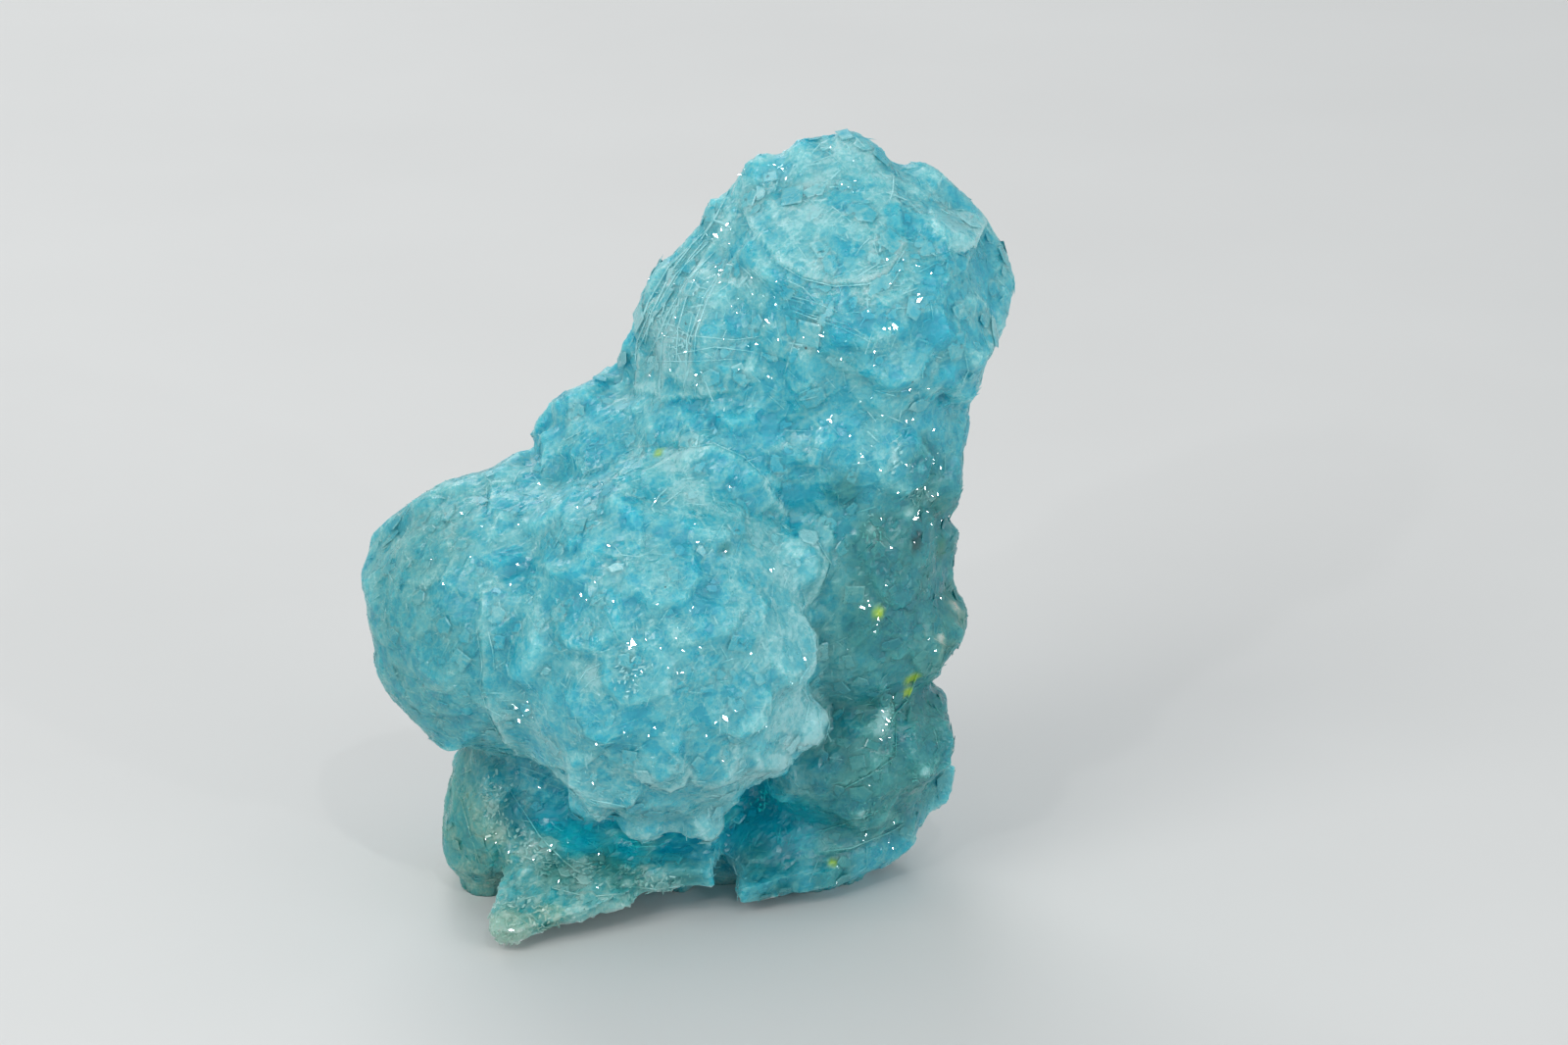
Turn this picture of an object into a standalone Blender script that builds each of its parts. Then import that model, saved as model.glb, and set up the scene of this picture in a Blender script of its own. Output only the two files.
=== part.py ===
# Blue hemimorphite: one knobbly crust of radiating crystals, with a ragged skirt of the same
# mineral that it stands on. Blender 4.5, metres, +Z up. -Y is the side that faces the viewer.
import math
import random
from collections import namedtuple

import bmesh
import bpy
from mathutils import Matrix, Vector, noise

MM = 0.001

SEED = 13

# Mesh sizes, in millimetres
VOXEL = 0.35
BODY_FACES = 2400          # triangles on the rounded body, before the crystals grow on it
LOBE_ROUGHNESS = 0.05      # share of a lobe's radius
LOBE_WAVE = 3.2            # length of the waves in that roughness

# Crystal plates: flat-faced scales of fused blades. Each leans out of the lobe it grows on, so
# that its lower edge stands free and its upper edge is buried.
PLATE_SIDES = 7
PLATE_THICKNESS = 0.9
PLATE_TAPER = 0.86         # outer face's radius over the buried face's
PLATE_LEAN = (5, 19)       # degrees from lying flat
PLATE_OPENING = Vector((0.0, -0.5, -1.0))    # the way the free edges face
PLATE_OPENING_SPREAD = 0.9
PLATE_LOWEST = 1.2         # no plate's middle is lower than this above the seat

# A lobe is a rounded mass: its middle, its half sizes along X, Y and Z, and its lean in degrees
# about Y. Plates of plate_radius grow over it, plate_count of them on a whole ball, and their
# middles stand plate_rise out of it.
Lobe = namedtuple("Lobe", "name centre radii lean plate_radius plate_count plate_rise")
LOBES = (
    Lobe("head", (8.1, 3.0, 31.2), (7.1, 7.6, 7.1), 0, 2.9, 46, -0.05),
    Lobe("head_left", (2.9, 2.8, 29.4), (4.3, 6.2, 5.3), -24, 2.4, 26, -0.05),
    Lobe("head_right", (11.5, 3.8, 30.9), (4.0, 6.2, 5.4), -8, 2.2, 18, -0.1),
    Lobe("shoulder", (-2.6, 2.0, 22.6), (4.9, 5.8, 4.5), 20, 1.8, 22, -0.15),
    Lobe("shoulder_knob", (-7.9, 1.4, 21.7), (1.8, 1.8, 1.7), 0, 0.0, 0, 0.0),
    Lobe("neck", (8.1, 1.6, 25.0), (6.0, 6.0, 6.4), 0, 1.8, 20, -0.2),
    Lobe("saddle", (2.4, 0.0, 24.6), (5.6, 5.0, 4.6), 0, 1.8, 18, -0.2),
    Lobe("belly", (-1.6, -3.4, 15.6), (8.3, 8.6, 9.5), -6, 2.1, 54, -0.33),
    Lobe("left_lobe", (-8.6, -0.4, 15.9), (8.0, 8.2, 7.4), -22, 2.0, 18, -0.5),
    Lobe("column", (8.0, 1.5, 18.4), (5.5, 6.2, 8.4), 0, 1.6, 18, -0.2),
    Lobe("column_foot", (8.6, 1.4, 14.4), (5.5, 5.8, 4.1), 0, 1.4, 12, -0.15),
    Lobe("lower_right", (8.3, 1.8, 7.8), (5.4, 5.8, 4.6), 0, 1.7, 14, -0.15),
    Lobe("core", (0.0, 5.2, 12.0), (8.6, 6.2, 9.8), 0, 2.8, 20, -0.2),
    Lobe("under_left", (-6.8, 2.0, 7.0), (5.0, 4.0, 5.0), 0, 0.0, 0, 0.0),
    Lobe("back_knob", (5.5, 9.0, 9.0), (4.0, 3.2, 4.4), 0, 1.7, 14, -0.1),
    Lobe("back_left", (-6.0, 7.6, 9.5), (5.2, 4.0, 5.0), 0, 2.0, 14, -0.1),
    Lobe("foot", (0.8, 5.2, 2.8), (9.8, 5.6, 5.4), 0, 1.8, 24, -0.1),
    Lobe("flap", (-10.2, 2.2, 3.8), (2.4, 5.0, 5.6), 6, 1.2, 10, -0.15),
    Lobe("skirt_right", (6.4, 2.4, 2.6), (5.4, 4.8, 3.0), 0, 1.3, 12, -0.15),
)

# Knobs along the belly's right edge and under it, and along the outline of the head:
# middle and radius
Knob = namedtuple("Knob", "centre radius")
KNOBS = (
    Knob((5.5, -4.5, 20.0), 1.65),
    Knob((5.6, -5.0, 17.2), 0.9),
    Knob((5.8, -5.0, 14.4), 1.0),
    Knob((5.7, -5.5, 11.5), 1.5),
    Knob((4.4, -6.0, 10.0), 1.4),
    Knob((1.8, -7.0, 9.4), 1.6),
    Knob((0.6, -6.0, 6.6), 1.4),
    Knob((-2.2, -6.0, 6.6), 1.4),
    Knob((-4.9, -7.0, 8.0), 1.3),
    Knob((4.0, 2.5, 37.9), 1.4),
    Knob((6.1, 2.5, 38.6), 1.5),
    Knob((8.3, 2.8, 38.1), 2.3),
    Knob((11.9, 3.2, 36.7), 1.8),
    Knob((13.0, 3.5, 34.7), 2.1),
    Knob((14.1, 3.8, 32.0), 2.7),
    Knob((2.1, 2.4, 35.6), 1.4),
    Knob((0.8, 2.4, 33.2), 1.3),
    Knob((-1.0, 2.4, 31.0), 1.3),
    Knob((-1.9, 2.2, 28.6), 1.4),
)

# The skirt is a thin broken crust. Each slab is an outline in its own plane, which rises
# towards the back from its front corner.
Slab = namedtuple("Slab", "name corner slope thickness outline")
SLABS = (
    Slab("tongue", (-9.7, -8.3, 0.9), 20, 1.5, (
        (-0.2, -0.2), (-0.5, 1.3), (0.1, 3.1), (0.5, 5.8), (-0.4, 9.0), (-0.6, 13.0),
        (5.4, 14.2), (9.8, 12.4), (11.6, 8.0), (11.4, 5.0), (10.9, 4.1), (9.7, 4.3),
        (8.1, 4.0), (7.1, 2.8), (4.9, 1.7), (2.7, 0.6), (1.2, -0.4))),
    Slab("ledge", (2.5, -3.8, 1.1), 24, 1.6, (
        (0.0, 0.0), (0.0, 1.9), (-0.6, 3.6), (0.6, 9.0), (5.5, 11.6), (9.6, 11.2),
        (11.2, 9.0), (10.9, 7.3), (9.4, 6.1), (9.1, 4.9), (7.6, 3.0), (6.4, 2.4),
        (4.9, 1.2), (2.6, 0.8), (1.2, 0.2))),
)


def clear_scene():
    for old in list(bpy.data.objects):
        bpy.data.objects.remove(old)


def rough_lobe(shell, lobe, seed):
    """Adds one rounded mass to the mesh, with slow waves on its surface."""
    turn = Matrix.Rotation(math.radians(lobe.lean), 4, "Y")
    made = bmesh.ops.create_icosphere(shell, subdivisions=4, radius=1)["verts"]
    for vertex in made:
        outward = vertex.co.copy()
        shape = Vector(a * b for a, b in zip(outward, lobe.radii))
        wave = noise.noise(shape / LOBE_WAVE + Vector((seed * 7.3, 0, 0)))
        shape *= 1 + LOBE_ROUGHNESS * wave
        vertex.co = (turn @ shape + Vector(lobe.centre)) * MM


def add_knob(shell, knob):
    place = Matrix.Translation(Vector(knob.centre) * MM)
    bmesh.ops.create_icosphere(shell, subdivisions=3, radius=knob.radius * MM, matrix=place)


def add_slab(shell, slab):
    """Adds a flat broken slab of crust: its outline, given a thickness and laid on its slope."""
    tilt = Matrix.Rotation(math.radians(slab.slope), 4, "X")
    place = Matrix.Translation(Vector(slab.corner) * MM) @ tilt
    half = slab.thickness / 2
    low = [shell.verts.new(place @ (Vector((x, y, -half)) * MM)) for x, y in slab.outline]
    floor = shell.faces.new(low)
    sides = bmesh.ops.extrude_face_region(shell, geom=[floor])["geom"]
    top = [item for item in sides if isinstance(item, bmesh.types.BMVert)]
    bmesh.ops.translate(shell, verts=top, vec=tilt @ Vector((0, 0, slab.thickness * MM)))


def spread_directions(count, chance):
    """Directions spaced evenly over a ball, each moved a little."""
    golden = math.pi * (3 - math.sqrt(5))
    for index in range(count):
        height = 1 - 2 * (index + 0.5) / count
        around = index * golden + chance.uniform(-0.3, 0.3)
        flat = math.sqrt(1 - height * height)
        yield Vector((flat * math.cos(around), flat * math.sin(around), height))


def buried(point, own):
    """True if a point is well inside a lobe other than its own."""
    for lobe in LOBES:
        if lobe.name == own:
            continue
        turn = Matrix.Rotation(math.radians(-lobe.lean), 4, "Y")
        inside = turn @ (point - Vector(lobe.centre))
        if sum((a / b) ** 2 for a, b in zip(inside, lobe.radii)) < 0.9:
            return True
    return False


def add_plates(shell, lobe, chance):
    """Grows leaning crystal plates over one lobe, where it isn't inside another."""
    turn = Matrix.Rotation(math.radians(lobe.lean), 4, "Y")
    for outward in spread_directions(lobe.plate_count, chance):
        point = turn @ Vector(a * b for a, b in zip(outward, lobe.radii))
        normal = turn @ Vector(a / b for a, b in zip(outward, lobe.radii))
        normal.normalize()
        point += Vector(lobe.centre)
        if buried(point, lobe.name) or point.z < PLATE_LOWEST:
            continue
        radius = lobe.plate_radius * chance.uniform(0.75, 1.3)
        lean = math.radians(chance.uniform(*PLATE_LEAN))
        opening = PLATE_OPENING + noise.random_unit_vector() * PLATE_OPENING_SPREAD
        tip = Matrix.Rotation(lean, 4, opening.cross(normal))
        face_up = normal.to_track_quat("Z", "Y").to_matrix().to_4x4()
        spin = Matrix.Rotation(chance.uniform(0, math.tau), 4, "Z")
        place = Matrix.Translation((point + normal * lobe.plate_rise) * MM) @ tip @ face_up @ spin
        bmesh.ops.create_cone(
            shell, cap_ends=True, segments=PLATE_SIDES, radius1=radius * MM,
            radius2=radius * PLATE_TAPER * MM, depth=PLATE_THICKNESS * MM, matrix=place)


def mesh_object(name, shell, collection):
    bmesh.ops.recalc_face_normals(shell, faces=shell.faces)
    mesh = bpy.data.meshes.new(name)
    shell.to_mesh(mesh)
    shell.free()
    made = bpy.data.objects.new(name, mesh)
    collection.objects.link(made)
    return made


def apply_modifiers(made):
    """Turns an object with modifiers into a plain mesh."""
    bpy.context.view_layer.update()
    graph = bpy.context.evaluated_depsgraph_get()
    mesh = bpy.data.meshes.new_from_object(made.evaluated_get(graph))
    made.modifiers.clear()
    made.data = mesh


def rounded_body(collection):
    """The lobes, knobs and slabs fused into one skin, and that skin thinned to broad facets."""
    shell = bmesh.new()
    for seed, lobe in enumerate(LOBES):
        rough_lobe(shell, lobe, seed)
    for knob in KNOBS:
        add_knob(shell, knob)
    for slab in SLABS:
        add_slab(shell, slab)
    body = mesh_object("hemimorphite", shell, collection)
    skin = body.modifiers.new("fuse", "REMESH")
    skin.mode = "VOXEL"
    skin.voxel_size = VOXEL * MM
    apply_modifiers(body)
    thin = body.modifiers.new("facets", "DECIMATE")
    thin.ratio = BODY_FACES / (2 * len(body.data.polygons))
    apply_modifiers(body)
    return body


def grow_plates(body, collection):
    """Unites the crystal plates with the body, which leaves their flat faces sharp."""
    shell = bmesh.new()
    chance = random.Random(SEED)
    noise.seed_set(SEED)
    for lobe in LOBES:
        add_plates(shell, lobe, chance)
    plates = mesh_object("plates", shell, collection)
    union = body.modifiers.new("grow", "BOOLEAN")
    union.operation = "UNION"
    union.solver = "EXACT"
    union.use_self = True
    union.object = plates
    apply_modifiers(body)
    bpy.data.objects.remove(plates)


def keep_largest_shell(shell):
    """Drops loose bits, such as a plate that the body doesn't touch."""
    left = set(shell.verts)
    largest = []
    while left:
        start = left.pop()
        found = [start]
        stack = [start]
        while stack:
            for edge in stack.pop().link_edges:
                for vertex in edge.verts:
                    if vertex in left:
                        left.remove(vertex)
                        found.append(vertex)
                        stack.append(vertex)
        if len(found) > len(largest):
            largest = found
    kept = set(largest)
    bmesh.ops.delete(shell, geom=[v for v in shell.verts if v not in kept], context="VERTS")


def cut_seat(shell):
    """Cuts everything below Z = 0 away and closes the cut with flat faces to rest on."""
    everything = shell.verts[:] + shell.edges[:] + shell.faces[:]
    cut = bmesh.ops.bisect_plane(
        shell, geom=everything, dist=1e-7, plane_co=(0, 0, 0), plane_no=(0, 0, -1),
        clear_outer=True)
    rim = [item for item in cut["geom_cut"] if isinstance(item, bmesh.types.BMEdge)]
    bmesh.ops.holes_fill(shell, edges=rim, sides=0)


def centre_on_seat(shell):
    """Moves the specimen sideways, so that its box's bottom centre is the origin."""
    for axis in (0, 1):
        low = min(vertex.co[axis] for vertex in shell.verts)
        high = max(vertex.co[axis] for vertex in shell.verts)
        shift = Vector((0, 0, 0))
        shift[axis] = -(low + high) / 2
        bmesh.ops.translate(shell, verts=shell.verts, vec=shift)


def hemimorphite(collection):
    """The specimen: fused masses and the plates on them, on a flat broken seat."""
    specimen = rounded_body(collection)
    grow_plates(specimen, collection)
    shell = bmesh.new()
    shell.from_mesh(specimen.data)
    keep_largest_shell(shell)
    cut_seat(shell)
    centre_on_seat(shell)
    bmesh.ops.triangulate(shell, faces=shell.faces)
    shell.to_mesh(specimen.data)
    shell.free()
    return specimen


def blue_crystal():
    material = bpy.data.materials.new("blue_crystal")
    material.use_nodes = True
    shader = material.node_tree.nodes["Principled BSDF"]
    shader.inputs["Base Color"].default_value = (0.13, 0.43, 0.50, 1)
    shader.inputs["Roughness"].default_value = 0.3
    shader.inputs["Metallic"].default_value = 0
    return material


def main():
    clear_scene()
    collection = bpy.data.collections.new("hemimorphite_specimen")
    bpy.context.scene.collection.children.link(collection)
    specimen = hemimorphite(collection)
    specimen.data.materials.clear()
    specimen.data.materials.append(blue_crystal())


main()
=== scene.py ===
import math

import bmesh
import bpy
import numpy as np
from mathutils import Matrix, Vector, kdtree, noise
from mathutils.bvhtree import BVHTree


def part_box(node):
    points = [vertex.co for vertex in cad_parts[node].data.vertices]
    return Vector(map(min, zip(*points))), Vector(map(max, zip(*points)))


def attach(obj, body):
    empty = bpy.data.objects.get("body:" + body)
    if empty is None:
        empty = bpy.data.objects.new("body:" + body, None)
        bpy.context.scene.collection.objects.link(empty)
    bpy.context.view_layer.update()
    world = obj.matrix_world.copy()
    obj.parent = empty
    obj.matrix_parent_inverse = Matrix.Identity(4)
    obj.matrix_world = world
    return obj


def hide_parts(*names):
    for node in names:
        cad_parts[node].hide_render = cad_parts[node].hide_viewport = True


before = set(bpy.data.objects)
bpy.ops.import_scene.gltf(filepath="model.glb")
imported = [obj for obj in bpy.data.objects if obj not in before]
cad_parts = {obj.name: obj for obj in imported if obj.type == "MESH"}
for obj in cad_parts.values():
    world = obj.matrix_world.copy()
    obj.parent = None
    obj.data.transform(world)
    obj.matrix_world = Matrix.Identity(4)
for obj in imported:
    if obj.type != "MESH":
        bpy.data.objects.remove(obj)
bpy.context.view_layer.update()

mm = 0.001
boxLow, boxHigh = [np.array(corner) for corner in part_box("hemimorphite")]

# The camera stands where the photograph was taken from. Pairs of whole numbers further down are
# pixels of the photograph, 1600 by 1066, and are carried onto the crust by the camera's own ray.
cameraPlan = {"lens": 144, "sensor": 36, "distance": 320, "elevation": 20,
              "aim": (5.08, -0.22, 20.37), "photoWidth": 1600, "photoHeight": 1066}

# Zones of the specimen, as soft balls in millimetres: middle and half sizes. The colours and how
# densely each kind of crystal grows follow them.
zones = {
    "head": ((8.4, 2.6, 31.8), (10.5, 10.5, 9.8)),
    "limb": ((-0.6, 0.3, 31.8), (4.2, 8.0, 7.0)),
    "belly": ((-1.5, -4.5, 15.8), (9.6, 9.2, 10.8)),
    "bellyRight": ((4.4, -5.6, 14.6), (5.2, 7.0, 9.6)),
    "leftLobe": ((-11.4, -0.8, 15.4), (7.0, 9.8, 9.2)),
    "column": ((11.2, 0.4, 17.2), (8.2, 9.6, 10.0)),
    "lowerRight": ((9.9, 0.4, 7.4), (7.0, 8.4, 6.2)),
    "tongue": ((-6.0, -5.6, 2.4), (8.0, 5.6, 4.2)),
    "flap": ((-11.2, 0.6, 3.0), (3.6, 7.0, 6.6)),
    "recess": ((-1.2, 0.8, 4.6), (5.6, 4.8, 3.6)),
    "recessRight": ((4.8, 0.0, 5.6), (4.4, 4.6, 3.0)),
    "crown": ((7.4, -2.6, 36.6), (6.4, 6.6, 6.0)),
}


# Helpers

def bakeModifiers(made):  # leaves a plain mesh, with the modifiers' result in it
    bpy.context.view_layer.update()
    graph = bpy.context.evaluated_depsgraph_get()
    baked = bpy.data.meshes.new_from_object(made.evaluated_get(graph))
    made.modifiers.clear()
    made.data = baked
    return made


def readPoints(mesh, field="co"):
    flat = np.zeros(len(mesh.vertices) * 3, np.float32)
    mesh.vertices.foreach_get(field, flat)
    return flat.reshape(-1, 3).astype(float)


def writePoints(mesh, points):
    mesh.vertices.foreach_set("co", points.astype(np.float32).ravel())
    mesh.update()


def keepInBox(mesh):
    writePoints(mesh, np.clip(readPoints(mesh), boxLow, boxHigh))


def storeValues(mesh, name, values):
    layer = mesh.attributes.new(name, "FLOAT", "POINT")
    layer.data.foreach_set("value", np.asarray(values, np.float32))


def storeDirections(mesh, name, directions):
    layer = mesh.attributes.new(name, "FLOAT_VECTOR", "POINT")
    layer.data.foreach_set("vector", np.asarray(directions, np.float32).ravel())


def readValues(mesh, name):
    values = np.zeros(len(mesh.vertices), np.float32)
    mesh.attributes[name].data.foreach_get("value", values)
    return values


def fade(values, start, end):  # 0 before start, 1 after end, smooth between
    share = np.clip((values - start) / (end - start), 0, 1)
    return share * share * (3 - 2 * share)


def zoneWeight(points, name, edge=0.5):  # 1 well inside a zone, 0 outside it
    centre, radii = zones[name]
    away = np.linalg.norm((points / mm - centre) / np.array(radii), axis=1)
    return 1 - fade(away, 1 - edge, 1)


def slowNoise(points, size, shift=0.0):
    step = size * mm
    return np.array([noise.noise(Vector(p / step) + Vector((shift, 0, 0))) for p in points])


cameraTilt = math.radians(cameraPlan["elevation"])
pixelSlope = cameraPlan["sensor"] / (cameraPlan["lens"] * cameraPlan["photoWidth"])


def pixelRay(x, y):
    back = Vector((0, -math.cos(cameraTilt), math.sin(cameraTilt)))
    up = Vector((0, math.sin(cameraTilt), math.cos(cameraTilt)))
    eye = (Vector(cameraPlan["aim"]) + back * cameraPlan["distance"]) * mm
    across = (x - cameraPlan["photoWidth"] / 2) * pixelSlope
    rise = (cameraPlan["photoHeight"] / 2 - y) * pixelSlope
    return eye, (Vector((across, 0, 0)) + up * rise - back).normalized()


def pixelsOf(points):  # and how far each point is from the camera, in millimetres along its axis
    away = points / mm - np.array(cameraPlan["aim"])
    rise = away[:, 1] * math.sin(cameraTilt) + away[:, 2] * math.cos(cameraTilt)
    depth = cameraPlan["distance"] + away[:, 1] * math.cos(cameraTilt) - away[:, 2] * math.sin(cameraTilt)
    across = away[:, 0] / depth / pixelSlope + cameraPlan["photoWidth"] / 2
    return np.stack((across, cameraPlan["photoHeight"] / 2 - rise / depth / pixelSlope), axis=1), depth


def feed(tree, socket, value):  # a link, or a plain value
    if isinstance(value, bpy.types.NodeSocket):
        tree.links.new(value, socket)
    elif socket.type == "RGBA":
        socket.default_value = (*value, 1)
    else:
        socket.default_value = value


def addNode(tree, kind, inputs, settings):
    node = tree.nodes.new(kind)
    for name, value in settings.items():
        setattr(node, name, value)
    for socket, value in inputs.items():
        feed(tree, node.inputs[socket], value)
    return node.outputs


# The crust: the whole specimen as one fine skin of overlapping plates

crustLook = {  # lengths in millimetres; rounding and calming are rounds of smoothing
    "voxel": 0.24, "soften": 4, "inset": 0.26, "rounding": 60, "crownRounding": 160, "calming": 14,
    "plates": {"count": 420, "radius": (1.2, 3.4), "lift": (0.05, 0.17), "lean": 0.6, "seed": 4},
    "flakes": {"count": 5200, "radius": (0.35, 1.1), "lift": (0.02, 0.07), "lean": 0.7, "seed": 9},
    "grain": 0.06, "grainSize": 0.9, "facet": 0.017, "lumps": 0.34, "lumpSize": 1.7, "grit": 0.24,
}
# How far the rounding goes in each zone: the knobs stay crisp
roundness = {"belly": 0.92, "leftLobe": 0.9, "column": 0.75, "head": 0.9, "limb": 0.6, "lowerRight": 0.7,
             "tongue": 0.6, "flap": 0.7}


def neighbourMean(mesh, values, rounds):
    edges = np.zeros(len(mesh.edges) * 2, np.int32)
    mesh.edges.foreach_get("vertices", edges)
    first, second = edges.reshape(-1, 2).T
    count = np.bincount(first, minlength=len(values)) + np.bincount(second, minlength=len(values))
    columns = values.reshape(len(values), -1).copy()
    for _ in range(rounds):
        mean = np.empty_like(columns)
        for axis in range(columns.shape[1]):
            column = columns[:, axis]
            total = np.bincount(first, column[second], len(values))
            total += np.bincount(second, column[first], len(values))
            mean[:, axis] = (column + total) / (count + 1)
        columns = mean
    return columns.reshape(values.shape)


def growPlates(points, normals, tree, look):
    rng = np.random.default_rng(look["seed"])
    lift = np.zeros(len(points))
    rim = np.zeros(len(points))
    tone = np.zeros(len(points))
    for start in rng.choice(len(points), look["count"], replace=False):
        radius = rng.uniform(*look["radius"])
        height = rng.uniform(*look["lift"])
        shade = rng.uniform(-1, 1)
        sides = rng.integers(5, 9)
        turns = (np.arange(sides) + rng.uniform(-0.25, 0.25, sides)) * math.tau / sides
        reach = rng.uniform(0.75, 1.0, sides)
        centre, outward = points[start], normals[start]
        down = np.array((rng.normal(0, 0.5), 0, -1.0))
        down -= outward * down.dot(outward)
        down /= max(np.linalg.norm(down), 0.05)
        side = np.cross(outward, down)
        near = np.array([hit[1] for hit in tree.find_range(centre, radius * mm)])
        near = near[normals[near] @ outward > 0.45]
        away = (points[near] - centre) / (radius * mm)
        along, across = away @ down, away @ side
        spans = [(along * math.cos(t) + across * math.sin(t)) / r for t, r in zip(turns, reach)]
        out = np.max(spans, axis=0)
        rise = height * (1 + look["lean"] * along) * (1 - fade(out, 0.78, 0.98))
        won = rise > lift[near]
        chosen = near[won]
        lift[chosen] = rise[won]
        rim[chosen] = fade(out[won], 0.55, 0.84) * fade(rise[won], 0.2 * height, 0.6 * height)
        tone[chosen] = shade
    return lift * mm, rim, tone


# The big plates of the front: lift in millimetres, how pale it is, the way its free edge faces
# (degrees in the picture, 0 right and 90 down), and x and y of its outline's pixels
bigPlates = (
    (0.36, 0.16, 90, (742, 190, 770, 120, 850, 100, 905, 120, 914, 180, 922, 215, 926, 250, 908, 280,
        885, 290, 852, 292, 819, 284, 793, 268, 765, 235)),
    (0.28, 0.14, 90, (949, 200, 975, 180, 995, 205, 1001, 232, 998, 250, 984, 261, 968, 252, 951, 234)),
    (0.30, 0.10, -60, (654, 479, 690, 459, 728, 452, 759, 466, 780, 486, 803, 520, 812, 560, 790, 600,
        740, 620, 690, 600, 655, 560)),
    (0.34, 0.10, 0, (788, 540, 830, 545, 848, 575, 838, 605, 820, 625, 790, 620, 770, 580)),
    (0.30, 0.10, 10, (775, 635, 800, 618, 822, 625, 834, 650, 835, 678, 824, 692, 800, 690, 772, 668)),
    (0.34, 0.12, 45, (765, 700, 800, 690, 826, 697, 846, 720, 846, 747, 834, 761, 808, 766, 780, 755)),
    (0.34, 0.14, 90, (640, 770, 665, 752, 690, 755, 707, 785, 702, 802, 684, 810, 664, 803, 648, 795)),
    (0.30, 0.10, 70, (700, 765, 740, 752, 775, 765, 782, 784, 765, 790, 748, 800, 724, 809, 706, 800)),
    (0.30, 0.03, 150, (490, 600, 486, 640, 492, 677, 490, 702, 498, 728, 513, 758, 532, 777, 590, 790,
        640, 750, 650, 700, 630, 640, 590, 600, 540, 580)),
    (0.24, 0.03, 110, (560, 780, 600, 770, 650, 800, 680, 830, 672, 860, 640, 858, 612, 844, 590, 815)),
    (0.26, 0.06, 100, (560, 790, 600, 785, 640, 790, 655, 806, 648, 824, 629, 828, 608, 820, 580, 806)),
    (0.32, 0.08, 80, (702, 806, 740, 796, 766, 800, 763, 818, 752, 834, 737, 849, 722, 862, 708, 846,
        700, 826)),
    (0.28, 0.08, 60, (745, 770, 780, 768, 806, 770, 803, 786, 788, 792, 764, 796, 748, 790)),
    (0.22, 0.05, 90, (615, 835, 660, 828, 694, 834, 690, 852, 673, 863, 650, 864, 628, 858)),
    (0.30, 0.30, 30, (893, 757, 887, 745, 897, 725, 908, 708, 914, 716, 911, 735, 904, 750)),
    (0.26, 0.06, 190, (497, 490, 520, 486, 540, 500, 540, 525, 515, 534, 496, 518)),
    (0.34, 0.12, 190, (646, 400, 650, 350, 667, 308, 700, 255, 724, 222, 742, 240, 710, 295, 696, 345,
        690, 400)),
    (0.34, 0.12, 190, (672, 410, 676, 345, 694, 298, 724, 246, 752, 200, 785, 225, 745, 285, 722, 340,
        712, 405)),
    (0.32, 0.10, 190, (698, 410, 702, 350, 718, 303, 748, 258, 790, 215, 820, 250, 775, 330, 750, 400)),
    (0.30, 0.12, 30, (855, 700, 900, 688, 915, 730, 914, 772, 888, 790, 858, 806, 835, 792, 840, 750)),
    (0.26, 0.10, 60, (825, 845, 868, 838, 907, 828, 925, 838, 907, 850, 868, 868, 834, 872)),
    (0.26, 0.10, 40, (940, 610, 975, 600, 990, 640, 967, 661, 958, 685, 940, 694, 925, 660)),
)


def outlineSides(pixels, around):  # each side, and the way from every pixel to the nearest point of it
    corners = np.array(around, float).reshape(-1, 2)
    for start, end in zip(corners, np.roll(corners, -1, axis=0)):
        side = end - start
        share = np.clip((pixels - start) @ side / side.dot(side), 0, 1)
        yield start, end, start + share[:, None] * side - pixels


def inOutline(pixels, around):  # how far inside the outline, in pixels, below 0 outside it
    inside = np.zeros(len(pixels), bool)
    nearest = np.full(len(pixels), np.inf)
    for start, end, away in outlineSides(pixels, around):
        nearest = np.minimum(nearest, np.linalg.norm(away, axis=1))
        crosses = (start[1] > pixels[:, 1]) != (end[1] > pixels[:, 1])
        lean = (end[0] - start[0]) / (end[1] - start[1] or 1e-9)
        inside ^= crosses & (pixels[:, 0] < start[0] + (pixels[:, 1] - start[1]) * lean)
    return np.where(inside, nearest, -nearest)


def freeWay(facing):  # the way in the picture that a plate's free edge faces
    return np.array((math.cos(math.radians(facing)), math.sin(math.radians(facing))))


def growBigPlates(points, normals, sight):
    pixels = pixelsOf(points)[0]
    lift = np.zeros(len(points))
    rim = np.zeros(len(points))
    paleness = np.zeros(len(points))
    cover = np.zeros(len(points))
    for height, pale, facing, around in bigPlates:
        corners = np.array(around, float).reshape(-1, 2)
        way = freeWay(facing)
        middle = corners.mean(axis=0)
        hit = sight.ray_cast(*pixelRay(*middle))[0]
        reach = (corners - middle) @ way
        inward = inOutline(pixels, around)
        along = ((pixels - middle) @ way - reach.min()) / (reach.max() - reach.min())
        front = (normals[:, 1] < 0.25) & (np.abs(points[:, 1] - hit[1]) < 8 * mm)
        rise = height * fade(along, 0.0, 0.8) * fade(inward, -1.5, 3.5) * front
        edge = (1 - fade(inward, 3, 9)) * fade(along, 0.4, 0.8) * fade(inward, -1, 2)
        rim = np.where(rise > lift, edge, rim)
        lift = np.maximum(lift, rise)
        cover = np.maximum(cover, fade(inward, -1.5, 3.5) * front)
        paleness = np.maximum(paleness, pale * fade(along, -0.1, 0.7) * fade(inward, -1, 2) * front)
    return lift * mm, rim, paleness, cover


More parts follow.
